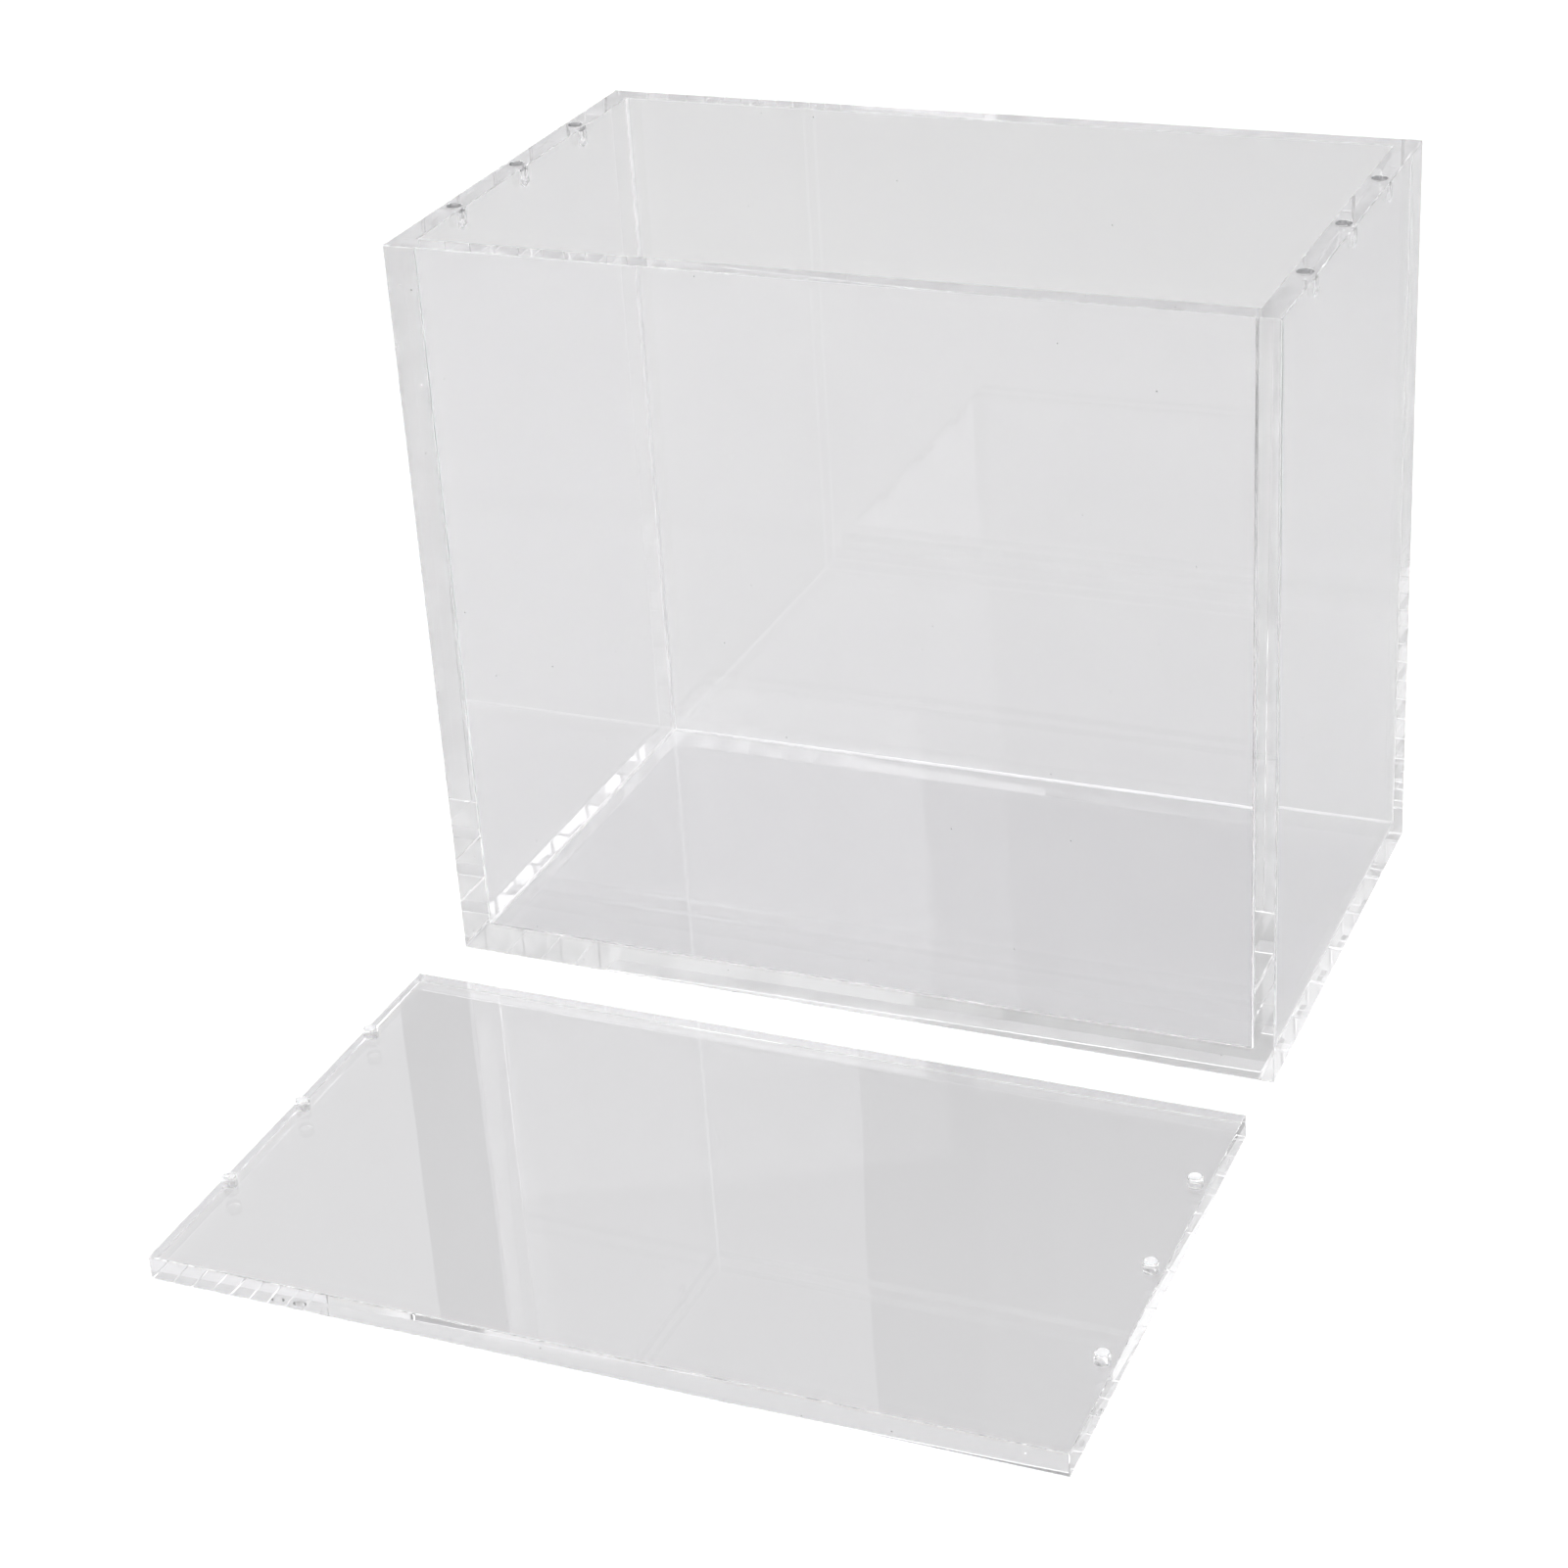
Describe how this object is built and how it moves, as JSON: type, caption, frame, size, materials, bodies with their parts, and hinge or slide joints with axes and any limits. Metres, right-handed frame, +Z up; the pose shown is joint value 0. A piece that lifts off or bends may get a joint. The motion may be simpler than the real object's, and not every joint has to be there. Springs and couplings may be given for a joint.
{
  "type": "display case",
  "caption": "Clear open-topped box of mitred, cemented sheet with a loose flat lid whose pegs drop into holes in the rim of the end walls, for showing a figure.",
  "frame": {"origin": "middle of the case's underside, on the surface that it stands on", "axes": "+Z up, +X to the right and +Y to the back, seen from the front, where the lid lies"},
  "size_m": [0.18, 0.234, 0.159],
  "materials": {
    "clear_sheet": "clear cast acrylic sheet, polished edges, fine dust and hairline scratches",
    "clear_rod": "clear acrylic rod, turned ends"
  },
  "bodies": {
    "case": {"case_bottom_panel": "clear_sheet", "case_front_panel": "clear_sheet", "case_back_panel": "clear_sheet", "case_left_panel": "clear_sheet", "case_right_panel": "clear_sheet"},
    "lid": {"lid_plate": "clear_sheet", "lid_peg_left_front": "clear_rod", "lid_peg_left_middle": "clear_rod", "lid_peg_left_back": "clear_rod", "lid_peg_right_front": "clear_rod", "lid_peg_right_middle": "clear_rod", "lid_peg_right_back": "clear_rod"}
  },
  "joints": [
    {"name": "lid_turn_over", "type": "hinge", "parent": "case", "child": "lid", "pos_m": [0, -0.0635, 0.08205], "axis": [-1, 0, 0], "range_deg": [0, 180]}
  ]
}
